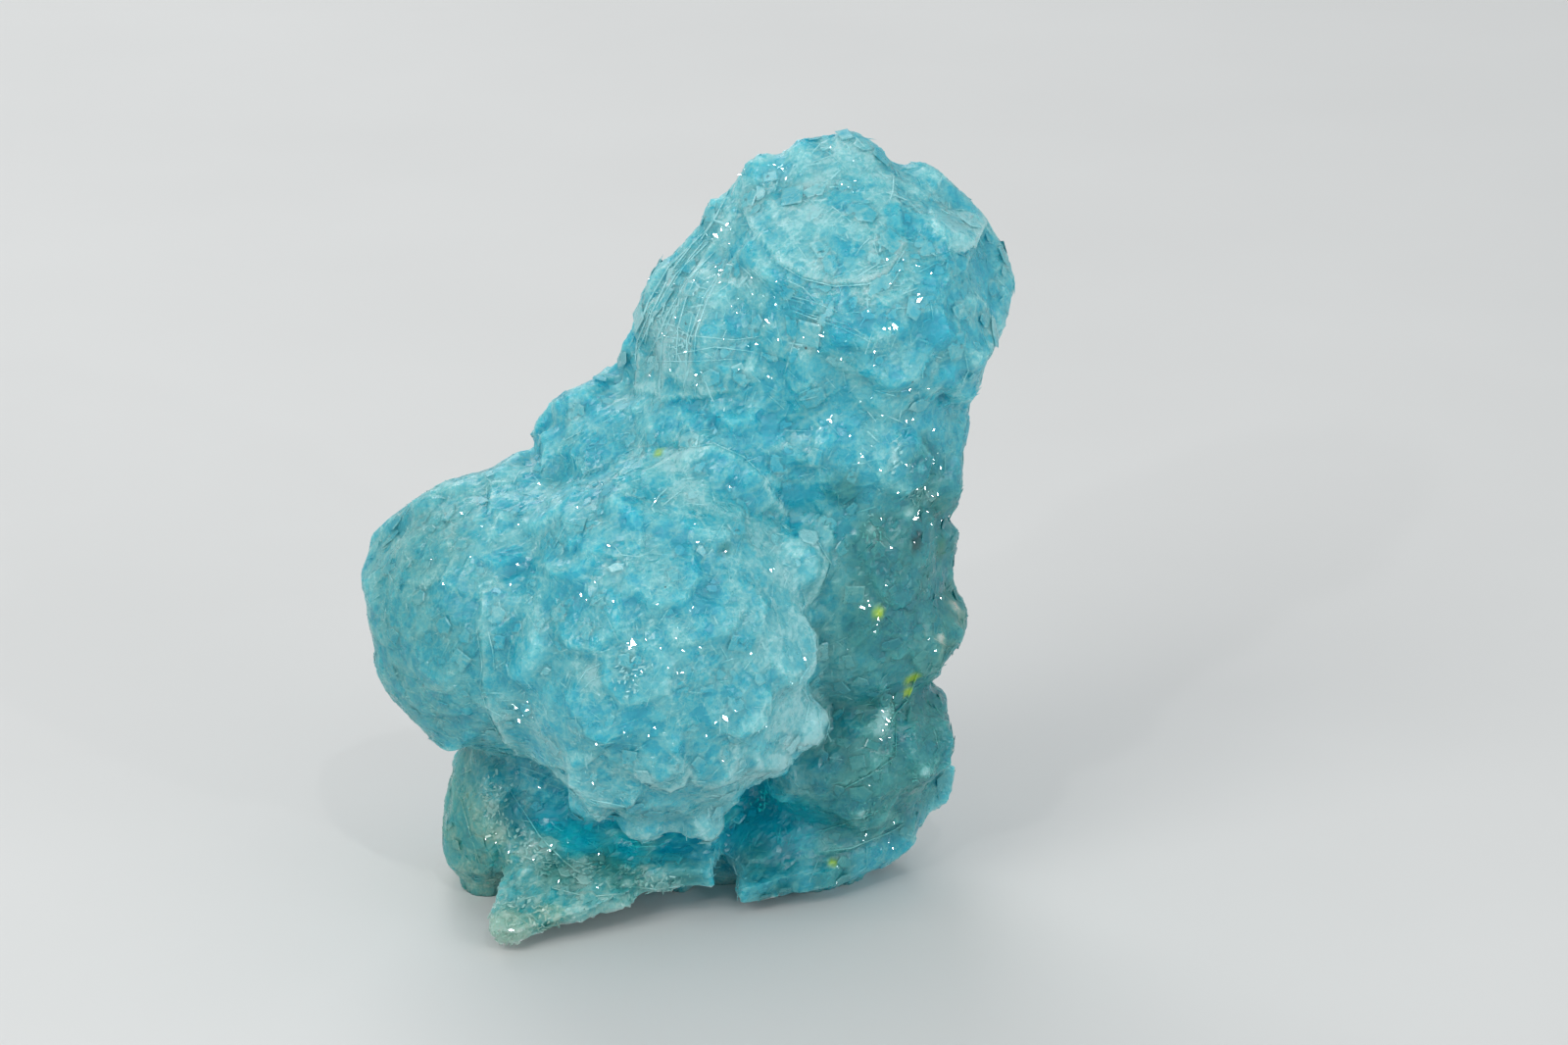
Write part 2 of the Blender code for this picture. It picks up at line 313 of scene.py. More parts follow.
# x and y of the specimen's outline in the photograph: the skin is eased onto it where it turns away
outline = (
    864, 132, 871, 133, 892, 149, 897, 149, 914, 175, 934, 162, 939, 163, 948, 170, 954, 171, 977, 193,
    981, 193, 998, 215, 1011, 226, 1011, 232, 1018, 242, 1036, 283, 1025, 334, 999, 383, 999, 393,
    987, 420, 989, 442, 981, 462, 984, 472, 981, 482, 986, 491, 979, 507, 982, 516, 982, 532, 978, 540,
    978, 550, 982, 566, 981, 585, 988, 634, 983, 651, 959, 681, 967, 712, 966, 733, 979, 771, 974, 782,
    977, 798, 971, 819, 966, 826, 954, 831, 935, 846, 935, 854, 931, 863, 915, 877, 895, 887, 885, 887,
    845, 913, 818, 919, 791, 918, 770, 929, 749, 931, 746, 919, 748, 912, 737, 903, 724, 917, 688, 913,
    667, 925, 646, 927, 634, 938, 621, 938, 572, 954, 551, 954, 546, 959, 522, 970, 505, 969, 492, 959,
    489, 950, 498, 939, 497, 928, 505, 920, 507, 899, 503, 895, 490, 904, 466, 908, 458, 892, 458, 885,
    453, 878, 452, 845, 455, 833, 453, 814, 458, 807, 456, 796, 463, 788, 463, 784, 459, 773, 395, 706,
    384, 683, 382, 669, 385, 662, 377, 643, 375, 614, 368, 587, 370, 566, 376, 558, 379, 546, 403, 524,
    451, 493, 506, 477, 521, 463, 525, 463, 544, 444, 546, 431, 565, 408, 589, 394, 603, 390, 615, 376,
    623, 375, 631, 367, 634, 350, 643, 339, 645, 327, 653, 319, 651, 312, 654, 303, 669, 274, 674, 267,
    684, 264, 717, 227, 717, 214, 740, 184, 747, 179, 752, 183, 760, 175, 759, 172, 763, 167, 778, 154,
    785, 155, 793, 161, 822, 139, 831, 142, 839, 137, 849, 141,
)


def fitOutline(mesh, points, normals):  # the move of each point that brings the skin's edge onto it
    pixels, depth = pixelsOf(points)
    ahead = points - np.array(pixelRay(0, 0)[0])
    ahead /= np.linalg.norm(ahead, axis=1)[:, None]
    grazing = 1 - fade(np.abs(np.sum(normals * ahead, axis=1)), 0.2, 0.55)
    move = np.zeros_like(pixels)
    nearest = np.full(len(points), np.inf)
    for _, _, away in outlineSides(pixels, outline):
        far = np.linalg.norm(away, axis=1)
        closer = far < nearest
        nearest[closer] = far[closer]
        move[closer] = away[closer]
    move *= (grazing * (1 - fade(nearest, 12, 20)) * fade(points[:, 2] / mm, 0.5, 2.0) * depth)[:, None]
    up = (0, math.sin(cameraTilt), math.cos(cameraTilt))
    across = np.outer(move[:, 0], (1, 0, 0)) - np.outer(move[:, 1], up)
    return neighbourMean(mesh, across * pixelSlope * mm, 5)


def makeCrust():
    look = crustLook
    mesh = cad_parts["hemimorphite"].data.copy()
    shell = bmesh.new()
    shell.from_mesh(mesh)
    bmesh.ops.remove_doubles(shell, verts=shell.verts, dist=1e-6)
    shell.to_mesh(mesh)
    shell.free()
    mesh.materials.clear()
    crust = bpy.data.objects.new("crust", mesh)
    bpy.context.scene.collection.objects.link(crust)
    skin = crust.modifiers.new("fuse", "REMESH")
    skin.mode = "VOXEL"
    skin.voxel_size = look["voxel"] * mm
    skin.use_smooth_shade = True
    soft = crust.modifiers.new("soften", "SMOOTH")
    soft.factor = 0.5
    soft.iterations = look["soften"]
    bakeModifiers(crust)
    mesh = crust.data
    points = readPoints(mesh)
    seat = points[:, 2] < 0.15 * mm
    share = np.zeros(len(points))
    for name, amount in roundness.items():
        share = np.maximum(share, amount * zoneWeight(points, name))
    share *= 1 - 0.6 * zoneWeight(points, "bellyRight") * fade(points[:, 0] / mm, 3.5, 6.5)
    points += (neighbourMean(mesh, points, look["rounding"]) - points) * share[:, None]
    crown = zoneWeight(points, "crown", 0.6)[:, None]
    points += (neighbourMean(mesh, points, look["crownRounding"]) - points) * crown
    writePoints(mesh, points)
    points = readPoints(mesh)
    normals = readPoints(mesh, "normal")
    tree = kdtree.KDTree(len(points))
    for index, point in enumerate(points):
        tree.insert(point, index)
    tree.balance()
    plateLift, plateRim, plateTone = growPlates(points, normals, tree, look["plates"])
    flakeLift, flakeRim, flakeTone = growPlates(points, normals, tree, look["flakes"])
    grain = slowNoise(points, look["grainSize"]) * look["grain"] * mm
    base = np.maximum(zoneWeight(points, "tongue"), 0.4 * zoneWeight(points, "flap"))
    base = np.maximum(base, 0.7 * zoneWeight(points, "lowerRight"))
    grain += slowNoise(points, look["lumpSize"], 7.0) * base * look["lumps"] * mm
    grain += np.abs(slowNoise(points, 0.55, 3.0)) * zoneWeight(points, "tongue") * look["grit"] * mm
    sight = BVHTree.FromObject(crust, bpy.context.evaluated_depsgraph_get())
    bigLift, bigRim, bigPale, cover = growBigPlates(points, normals, sight)
    plateLift *= 1 - 0.85 * cover  # a big plate is smoother than the skin around it
    lift = np.maximum(plateLift, bigLift) + flakeLift * (1 - 0.35 * cover) + grain - look["inset"] * mm
    points += normals * lift[:, None]
    points += fitOutline(mesh, points, normals)
    smoothed = points.copy()
    points += np.random.default_rng(21).normal(0, look["facet"] * mm, points.shape)
    points[seat, 2] = 0
    writePoints(mesh, np.clip(points, boxLow, boxHigh))
    mesh.shade_flat()
    points = smoothed
    normals = readPoints(mesh, "normal")
    # relief and sharp: the skin's height over its smoothed self, used in the colour as painted light on
    # ridges and painted shade in hollows
    relief = np.sum((points - neighbourMean(mesh, points, 30)) * normals, axis=1) / mm
    sharp = np.sum((points - neighbourMean(mesh, points, 3)) * normals, axis=1) / mm
    sharp = neighbourMean(mesh, sharp, 1)
    storeValues(mesh, "relief", np.clip(relief / 0.35, -1.5, 1.5))
    storeValues(mesh, "sharp", np.clip(sharp / 0.05, -1.5, 1.5))
    storeValues(mesh, "rim", np.clip(0.6 * plateRim + 1.3 * bigRim + 0.4 * flakeRim, 0, 1.5))
    storeValues(mesh, "tone", 0.6 * plateTone + 0.4 * flakeTone)
    storeValues(mesh, "plate", bigPale)
    calm = neighbourMean(mesh, normals, look["calming"])
    calm /= np.linalg.norm(calm, axis=1)[:, None]
    storeDirections(mesh, "calm", calm)
    storeValues(mesh, "level", fade(np.sum(normals * calm, axis=1), 0.88, 0.97))
    return crust


# Colour patches of the front: a pixel of the photograph and a radius in millimetres for each
patches = {
    "window": (
        (646, 345, 0.5), (660, 314, 0.5), (690, 264, 0.5), (722, 222, 0.4), (656, 372, 0.4),
        (700, 275, 0.6), (678, 345, 0.5), (512, 660, 0.7), (482, 683, 0.5), (500, 665, 0.4),
        (640, 760, 0.8), (555, 712, 0.5), (610, 730, 0.8), (862, 262, 1.7), (905, 255, 1.2),
        (955, 290, 1.4), (800, 312, 1.4), (745, 268, 1.0), (860, 340, 1.7), (720, 360, 1.2),
        (820, 290, 1.0), (930, 230, 1.0), (760, 330, 1.2), (905, 380, 1.4), (795, 430, 1.2),
        (960, 345, 1.0), (740, 465, 1.0), (600, 500, 1.6), (530, 570, 1.2), (580, 600, 1.3),
        (745, 505, 1.1), (700, 570, 1.4), (640, 620, 1.2), (560, 710, 0.9), (650, 735, 1.1),
        (480, 640, 1.4), (840, 450, 1.3), (980, 380, 1.2)),
    # pale frost, and a pale painted glow around the glints on the column and lower right
    "fogAndGlintHalo": (
        (468, 885, 1.3), (462, 850, 1.0), (850, 175, 2.6), (825, 230, 2.4), (895, 235, 1.6),
        (985, 225, 1.4), (935, 508, 1.0), (915, 466, 0.7), (890, 540, 0.9), (880, 620, 0.7),
        (848, 645, 0.9), (900, 820, 0.8), (885, 850, 0.5), (940, 790, 0.7), (500, 805, 1.3),
        (520, 840, 1.2), (545, 870, 1.0), (480, 850, 1.2), (600, 895, 0.8), (690, 905, 0.8),
        (985, 240, 1.3), (880, 165, 1.8), (830, 255, 1.5), (740, 215, 1.6), (700, 290, 2.2),
        (690, 350, 1.4), (945, 175, 0.9), (880, 295, 1.0), (690, 470, 1.6), (700, 520, 1.8),
        (560, 500, 1.4), (500, 545, 1.3), (430, 480, 1.5), (400, 560, 1.4), (600, 690, 1.4),
        (520, 720, 1.5), (640, 790, 1.2), (800, 600, 1.5), (740, 760, 1.4), (650, 450, 1.4),
        (540, 640, 1.2), (450, 700, 1.2), (825, 560, 1.0), (700, 660, 1.4)),
    "spot": ((897, 625, 0.44), (931, 692, 0.6), (926, 706, 0.42), (672, 462, 0.28), (850, 880, 0.3)),
    "white": (
        (903, 728, 0.5), (898, 742, 0.55), (852, 772, 0.32), (516, 952, 1.6), (690, 905, 0.4),
        (785, 812, 0.5), (500, 820, 0.5), (511, 848, 0.4), (535, 870, 0.45), (582, 890, 0.4),
        (640, 900, 0.35), (606, 690, 0.7), (950, 505, 0.5), (928, 524, 0.4), (913, 468, 0.35),
        (940, 478, 0.3), (974, 618, 0.55), (960, 650, 0.4), (890, 540, 0.3), (945, 788, 0.35),
        (880, 830, 0.3)),
    # painted shade: the dark inside of a pit on the column
    "pitShade": ((935, 555, 0.55), (938, 545, 0.3)),
    "ochre": ((905, 905, 1.1), (880, 915, 0.7), (960, 560, 0.8)),
    "streak": ((850, 320, 2.6), (800, 300, 1.6), (900, 350, 1.6), (720, 355, 1.6), (690, 500, 1.0)),
    "layer": (
        (600, 745, 2.2), (540, 720, 1.6), (640, 800, 1.8), (580, 800, 1.5), (430, 690, 1.8),
        (700, 720, 1.4), (610, 480, 1.2)),
    "haze": ((505, 950, 1.6), (530, 870, 1.2), (700, 480, 2.2), (770, 560, 2.0), (800, 650, 2.0)),
    "ash": ((976, 560, 1.5), (975, 620, 1.8), (965, 660, 1.2), (955, 520, 0.9)),
    "grainy": (
        (500, 805, 1.2), (512, 835, 1.2), (530, 860, 1.2), (560, 880, 1.4), (600, 890, 1.3),
        (645, 895, 1.2), (690, 903, 0.9), (515, 925, 1.3), (515, 955, 1.3), (550, 930, 1.2),
        (905, 728, 0.8), (935, 505, 1.1), (915, 466, 0.8), (890, 540, 0.9), (780, 812, 1.0),
        (890, 830, 1.0), (945, 790, 1.0), (690, 345, 1.2), (672, 330, 1.0), (645, 690, 1.2)),
    # painted shade: patches under the belly where shade falls
    "hollowShade": (
        (590, 852, 1.9), (640, 866, 1.6), (560, 838, 1.1), (680, 868, 1.0), (800, 845, 2.2),
        (760, 850, 1.2)),
    "moss": ((515, 955, 2.0), (470, 840, 1.6), (560, 940, 1.2)),
    # painted shade: darker patches on the skirt under the belly and on the column
    "dimShade": (
        (570, 890, 1.5), (620, 880, 1.6), (790, 880, 2.6), (700, 900, 1.6), (790, 890, 2.4),
        (850, 890, 2.0), (640, 900, 1.4), (740, 560, 0.5), (950, 470, 1.8), (900, 560, 2.0),
        (890, 640, 1.6), (860, 500, 1.4)),
}


def patchWeights(points, tree):
    found = {}
    for kind, places in patches.items():
        weight = np.zeros(len(points))
        for x, y, radius in places:
            hit = tree.ray_cast(*pixelRay(x, y))[0]
            if hit is not None:
                away = np.linalg.norm(points - hit, axis=1) / (radius * mm)
                weight = np.maximum(weight, 1 - fade(away, 0.25, 1.15))
        found[kind] = weight
    return found


def paintZones(crust):  # the colour attributes, which the crystals inherit
    mesh = crust.data
    points = readPoints(mesh)
    sight = BVHTree.FromObject(crust, bpy.context.evaluated_depsgraph_get())
    weight = {name: zoneWeight(points, name) for name in zones}
    patch = patchWeights(points, sight)
    # Painted shade: in the recesses under the belly and in the hollow patches the tone is darker, with
    # less red and less green
    shade = np.maximum(weight["recess"], weight["recessRight"])
    pale = 0.40 + 0.03 * weight["head"] + 0.08 * weight["limb"] + 0.25 * weight["bellyRight"]
    shade = np.maximum(shade, patch["hollowShade"])
    # Painted shade: the column and the recesses are a little darker in tone
    pale += 0.12 * slowNoise(points, 3.6) - 0.08 * weight["column"] - 0.12 * shade
    pale += 0.20 * weight["tongue"] + 0.14 * patch["haze"]
    pale += 0.16 * patch["fogAndGlintHalo"] - 0.18 * patch["window"] + 0.6 * patch["white"]
    green = 0.9 * weight["flap"] + 0.6 * weight["tongue"] + 0.35 * weight["leftLobe"]
    green += 0.30 * weight["column"] + 0.2 * weight["lowerRight"] + 0.8 * patch["moss"]
    # Deeper colour: the mineral's own deeper blue, and painted shade on the column, the lower right and
    # the skirt under the belly
    deepAndShaded = 0.9 * weight["column"] + weight["lowerRight"] + 0.2 * weight["flap"] + 0.85 * patch["dimShade"]
    deepAndShaded += 0.4 * weight["leftLobe"] + 0.25 * weight["belly"] * (1 - weight["bellyRight"])
    web = 0.35 + 0.65 * weight["belly"] * (1 - weight["bellyRight"]) + 0.2 * weight["leftLobe"]
    web -= 0.25 * weight["bellyRight"] + 0.1 * weight["column"]
    storeValues(mesh, "pale", pale)
    green = np.clip(green, 0, 1) * (1 - 0.6 * weight["recess"]) * (1 - 0.8 * patch["hollowShade"])
    storeValues(mesh, "green", green)
    storeValues(mesh, "deepAndShaded", np.clip(deepAndShaded, 0, 1) * (1 - 0.85 * patch["white"]))
    storeValues(mesh, "shade", np.clip(shade, 0, 1))
    storeValues(mesh, "web", np.clip(web, 0, 1))
    for name in ("spot", "ochre", "ash", "pitShade", "streak"):
        storeValues(mesh, name, patch[name])
    storeValues(mesh, "layer", np.maximum(patch["layer"], 0.3 * weight["leftLobe"]))
    return weight, patch, sight


# Crystal shapes, about a dozen faces each and about one millimetre long

def crystalShape(name, outline, bevel, thickness):  # a thin plate with a bevelled rim
    shell = bmesh.new()
    brim = shell.verts.layers.float.new("brim")
    middle = sum((Vector((x, y, 0)) for x, y in outline), Vector()) / len(outline)
    rings = []
    for height, share, pale in ((-thickness / 2, bevel, 0.0), (0, 1, 1.0), (thickness / 2, bevel, 0.0)):
        ring = []
        for x, y in outline:
            place = middle + (Vector((x, y, 0)) - middle) * share
            vert = shell.verts.new((place + Vector((0, 0, height))) * mm)
            vert[brim] = pale
            ring.append(vert)
        rings.append(ring)
    shell.faces.new(rings[0])
    shell.faces.new(rings[2])
    for low, high in zip(rings, rings[1:]):
        for index in range(len(outline)):
            after = (index + 1) % len(outline)
            shell.faces.new((low[index], low[after], high[after], high[index]))
    bmesh.ops.recalc_face_normals(shell, faces=shell.faces)
    mesh = bpy.data.meshes.new(name)
    shell.to_mesh(mesh)
    shell.free()
    return bpy.data.objects.new(name, mesh)


def shapeSet(name, outlines, bevel, thickness):
    group = bpy.data.collections.new(name)
    for index, outline in enumerate(outlines):
        group.objects.link(crystalShape(f"{name}_{index}", outline, bevel, thickness))
    return group


class Growth:  # a Geometry Nodes tree that grows something on what it is given
    def __init__(self, name, inputs):
        self.tree = bpy.data.node_groups.new(name, "GeometryNodeTree")
        face = self.tree.interface
        for label, kind in inputs.items():
            face.new_socket(label, in_out="INPUT", socket_type="NodeSocket" + kind)
        face.new_socket("Grown", in_out="OUTPUT", socket_type="NodeSocketGeometry")
        self.given = self.tree.nodes.new("NodeGroupInput").outputs

    def add(self, kind, inputs, **settings):
        return addNode(self.tree, kind, inputs, settings)

    def named(self, name, kind="FLOAT"):
        return self.add("GeometryNodeInputNamedAttribute", {"Name": name}, data_type=kind)["Attribute"]

    def facing(self, name):
        aim = self.named(name, "FLOAT_VECTOR")
        return self.add("FunctionNodeAlignRotationToVector", {"Vector": aim}, axis="Z")["Rotation"]

    def turned(self, start, axis, angle):
        turn = self.add("FunctionNodeAxisAngleToRotation", {"Axis": axis, "Angle": angle})["Rotation"]
        both = {"Rotation": start, "Rotate By": turn}
        return self.add("FunctionNodeRotateRotation", both, rotation_space="LOCAL")["Rotation"]

    def place(self, points, turn, size):  # one of the six crystal shapes on each point
        shape = self.add("GeometryNodeCollectionInfo", {
            "Collection": self.given["Crystals"], "Separate Children": True, "Reset Children": True})
        pick = self.add("FunctionNodeRandomValue", {5: 5, "Seed": self.given["Seed"]}, data_type="INT")[2]
        return self.add("GeometryNodeInstanceOnPoints", {
            "Points": points, "Instance": shape["Instances"], "Pick Instance": True,
            "Instance Index": pick, "Rotation": turn, "Scale": size})["Instances"]

    def finish(self, grown):
        real = self.add("GeometryNodeRealizeInstances", {"Geometry": grown})["Geometry"]
        done = self.add("GeometryNodeSetMaterial", {"Geometry": real, "Material": self.given["Finish"]})
        self.tree.links.new(done["Geometry"], self.tree.nodes.new("NodeGroupOutput").inputs["Grown"])
        return self.tree


def crystalTree():  # grows a crystal shape on a skin, as densely as its attribute grow says
    growth = Growth("crystalGrowth", {
        "Skin": "Geometry", "Crystals": "Collection", "Spacing": "Float", "Density": "Float",
        "Smallest": "Float", "Largest": "Float", "Least Lean": "Float", "Most Lean": "Float",
        "Sheaf Size": "Float", "Sheaf Spread": "Float", "Depth": "Float", "Finish": "Material",
        "Seed": "Int"})
    given, add = growth.given, growth.add

    def between(low, high, salt):
        seed = add("FunctionNodeIntegerMath", {0: given["Seed"], 1: salt}, operation="ADD")[0]
        return add("FunctionNodeRandomValue", {2: low, 3: high, "Seed": seed}, data_type="FLOAT")["Value"]

    scatter = add("GeometryNodeDistributePointsOnFaces", {
        "Mesh": given["Skin"], "Distance Min": given["Spacing"], "Density Max": given["Density"],
        "Density Factor": growth.named("grow"), "Seed": given["Seed"]}, distribute_method="POISSON")
    where = add("GeometryNodeInputPosition", {})["Position"]
    sheaf = add("ShaderNodeTexNoise", {"Detail": 1, "Vector": where, "Scale": given["Sheaf Size"]})
    whole = add("ShaderNodeMath", {0: sheaf["Fac"], 1: 4 * math.tau}, operation="MULTIPLY")[0]
    loose = add("ShaderNodeMath", {0: between(-1.0, 1.0, 11), 1: given["Sheaf Spread"], 2: whole},
                operation="MULTIPLY_ADD")[0]
    spun = growth.turned(growth.facing("calm"), (0, 0, 1), loose)
    leant = growth.turned(spun, (1, 0, 0), between(given["Least Lean"], given["Most Lean"], 23))
    sink = add("ShaderNodeVectorMath", {0: scatter["Normal"], "Scale": given["Depth"]}, operation="SCALE")
    sunk = add("GeometryNodeSetPosition", {"Geometry": scatter["Points"], "Offset": sink["Vector"]})
    size = add("ShaderNodeCombineXYZ", {
        axis: between(given["Smallest"], given["Largest"], salt)
        for axis, salt in (("X", 31), ("Y", 37), ("Z", 41))})["Vector"]
    grown = growth.place(sunk["Geometry"], leant, size)
    tint = add("GeometryNodeStoreNamedAttribute", {
        "Geometry": grown, "Name": "tint", "Value": between(0.0, 1.0, 53)},
        data_type="FLOAT", domain="INSTANCE")
    return growth.finish(tint["Geometry"])


def growCrystals(name, tree, skin, grow, settings, shapes, finish, seed):
    mesh = skin.copy()
    level = 1 if settings["anywhere"] else readValues(mesh, "level")
    storeValues(mesh, "grow", np.clip(grow, 0, 1) * level)
    return runTree(name, mesh, tree, {
        "Crystals": shapes, "Spacing": settings["spacing"] * mm,
        "Density": settings["perSquareMm"] / mm ** 2,
        "Smallest": settings["size"][0], "Largest": settings["size"][1],
        "Least Lean": math.radians(settings["lean"][0]), "Most Lean": math.radians(settings["lean"][1]),
        "Sheaf Size": 1 / (settings["sheaf"] * mm), "Sheaf Spread": settings["spread"],
        "Depth": settings["rise"] * mm, "Finish": finish, "Seed": seed,
    })


# Things at named places of the front: glinting crystal faces and long thin lamella edges

glints = {  # at pixels of the photograph, with the face's width in millimetres
    "lights": ("glint_left", "glint_top", "glint_right"), "scale": 0.95, "satellites": 3, "spread": 0.3,
    # fields of tiny sparkles: how many, and the box of pixels that they lie in
    "fields": ((22, (520, 850, 700, 925)), (14, (480, 800, 560, 870)), (30, (895, 460, 965, 560)),
               (10, (888, 700, 915, 756)), (30, (648, 220, 745, 400)), (30, (730, 265, 960, 380)),
               (12, (630, 640, 705, 700)), (14, (590, 740, 700, 800)), (14, (830, 800, 950, 900)),
               (10, (440, 450, 560, 620)), (14, (790, 150, 880, 200)), (12, (840, 560, 960, 700)),
               (18, (500, 480, 760, 640)), (12, (680, 660, 830, 780)), (12, (760, 390, 960, 460))),
    "sparkle": (0.08, 0.2),
    "faces": (
        (647, 656, 0.62), (937, 307, 0.5), (912, 334, 0.46), (740, 731, 0.5), (879, 619, 0.36),
        (732, 242, 0.42), (933, 528, 0.34), (848, 430, 0.32), (530, 734, 0.34), (950, 504, 0.3),
        (839, 342, 0.26), (757, 179, 0.3), (902, 336, 0.24), (527, 720, 0.3), (799, 173, 0.24),
        (784, 327, 0.26), (736, 277, 0.26), (668, 513, 0.26), (742, 230, 0.28), (655, 685, 0.24),
        (701, 359, 0.22), (539, 724, 0.24), (790, 169, 0.2), (616, 496, 0.2), (935, 272, 0.2),
        (880, 465, 0.2), (820, 344, 0.16), (785, 582, 0.26), (784, 384, 0.16), (918, 276, 0.16),
        (624, 638, 0.16), (754, 377, 0.16), (650, 323, 0.2), (820, 673, 0.24), (637, 747, 0.16),
        (943, 498, 0.16), (560, 868, 0.18), (545, 878, 0.18), (523, 831, 0.16), (905, 735, 0.3),
        (900, 745, 0.2), (785, 812, 0.24)),
}

# Pale lamella edges: width in millimetres, then x and y of each pixel that it runs through. A few lie
# along glinting ridges, such as the short wide one from 726, 224 and the skirt's from 520, 806, and there
# the paleness is partly a painted highlight.
lamellae = (
    (0.12, 642, 355, 653, 332, 662, 308, 682, 273, 722, 234, 747, 192),
    (0.12, 650, 360, 661, 336, 671, 313, 690, 280, 728, 242),
    (0.10, 661, 366, 672, 343, 682, 320, 700, 288, 734, 252),
    (0.11, 658, 354, 665, 319, 688, 273, 724, 227), (0.10, 673, 329, 683, 296, 704, 263, 722, 242),
    (0.10, 742, 189, 731, 207, 724, 222), (0.12, 752, 178, 739, 204, 729, 224, 712, 250),
    (0.16, 726, 224, 738, 228, 751, 236), (0.09, 690, 372, 692, 335, 700, 305, 716, 270),
    (0.08, 699, 375, 701, 345, 708, 315), (0.08, 708, 370, 710, 340, 722, 305, 735, 280),
    (0.09, 806, 316, 830, 325, 857, 334, 895, 352), (0.07, 819, 319, 864, 331, 890, 347),
    (0.08, 796, 283, 819, 293, 836, 311), (0.07, 800, 300, 830, 308, 866, 322),
    (0.07, 701, 342, 750, 347, 783, 342), (0.08, 686, 362, 729, 354, 778, 360),
    (0.07, 655, 368, 700, 369, 760, 366), (0.09, 912, 178, 911, 196, 905, 212),
    (0.08, 984, 358, 988, 378, 979, 397), (0.07, 872, 262, 880, 250, 893, 238),
    (0.10, 664, 518, 673, 506, 685, 494), (0.07, 675, 517, 688, 506, 700, 497),
    (0.07, 596, 482, 604, 479, 612, 477), (0.07, 631, 443, 640, 442, 649, 440),
    (0.08, 575, 450, 588, 443, 600, 439), (0.08, 624, 553, 634, 566, 652, 568, 664, 563),
    (0.08, 587, 702, 598, 684, 620, 674), (0.07, 590, 708, 604, 694, 628, 684),
    (0.08, 523, 779, 552, 789, 589, 804), (0.07, 528, 786, 560, 800, 600, 815, 645, 824),
    (0.08, 735, 845, 745, 838, 755, 829), (0.08, 818, 700, 826, 716, 820, 744),
    (0.12, 937, 685, 925, 715, 913, 728, 907, 742), (0.09, 858, 806, 880, 795, 905, 782),
    (0.10, 836, 869, 868, 865, 907, 849, 923, 841), (0.09, 830, 850, 862, 840, 900, 826),
    (0.08, 497, 640, 503, 664, 505, 690), (0.10, 520, 806, 535, 828, 550, 852, 575, 878, 601, 898),
    (0.08, 470, 812, 480, 850, 492, 888), (0.08, 640, 904, 670, 907, 700, 903),
    (0.08, 560, 905, 600, 915, 640, 911), (0.07, 818, 600, 822, 614, 816, 628),
)


def carryValues(mesh, source, places):  # the crust's colour attributes, from its nearest points
    size = len(source.vertices)
    tree = kdtree.KDTree(size)
    for index, point in enumerate(readPoints(source)):
        tree.insert(point, index)
    tree.balance()
    nearest = [tree.find(place)[1] for place in places]
    for layer in source.attributes:
        if layer.data_type == "FLOAT" and layer.domain == "POINT":
            values = np.zeros(size, np.float32)
            layer.data.foreach_get("value", values)
            storeValues(mesh, layer.name, values[nearest])


def placedTree():  # one crystal on each point, facing its attribute aim, as wide as its attribute size
    growth = Growth("placedCrystals", {
        "Places": "Geometry", "Crystals": "Collection", "Finish": "Material", "Seed": "Int"})
    given = growth.given
    spin = growth.add("FunctionNodeRandomValue", {3: math.tau, "Seed": given["Seed"]})[1]
    turn = growth.turned(growth.facing("aim"), (0, 0, 1), spin)
    return growth.finish(growth.place(given["Places"], turn, growth.named("size")))


def ridgeTree():  # a thin ridge along every line of a mesh, thinning out at its two ends
    growth = Growth("lamellaEdges", {"Lines": "Geometry", "Sides": "Int", "Finish": "Material"})
    given, add = growth.given, growth.add
    curve = add("GeometryNodeMeshToCurve", {"Mesh": given["Lines"]})["Curve"]
    along = add("GeometryNodeSplineParameter", {})["Factor"]
    thin = growth.tree.nodes.new("ShaderNodeFloatCurve")
    points = thin.mapping.curves[0].points
    points[0].location = (0, 0.12)
    points[1].location = (1, 0.12)
    points.new(0.3, 1)
    points.new(0.7, 1)
    thin.mapping.update()
    feed(growth.tree, thin.inputs["Value"], along)
    radius = add("ShaderNodeMath", {0: growth.named("size"), 1: thin.outputs["Value"]},
                 operation="MULTIPLY")[0]
    profile = add("GeometryNodeCurvePrimitiveCircle", {
        "Radius": 0.5, "Resolution": given["Sides"]})["Curve"]
    swept = add("GeometryNodeCurveToMesh", {
        "Curve": curve, "Scale": radius, "Profile Curve": profile, "Fill Caps": True})
    return growth.finish(swept["Mesh"])


def runTree(name, mesh, tree, values):
    piece = bpy.data.objects.new(name, mesh)
    bpy.context.scene.collection.objects.link(piece)
    growth = piece.modifiers.new("growth", "NODES")
    growth.node_group = tree
    for socket in tree.interface.items_tree:
        if socket.in_out == "INPUT" and socket.name in values:
            growth[socket.identifier] = values[socket.name]
    bakeModifiers(piece)
    keepInBox(piece.data)
    print(f"{name}: {sum(len(p.vertices) - 2 for p in piece.data.polygons)} triangles")
    return piece


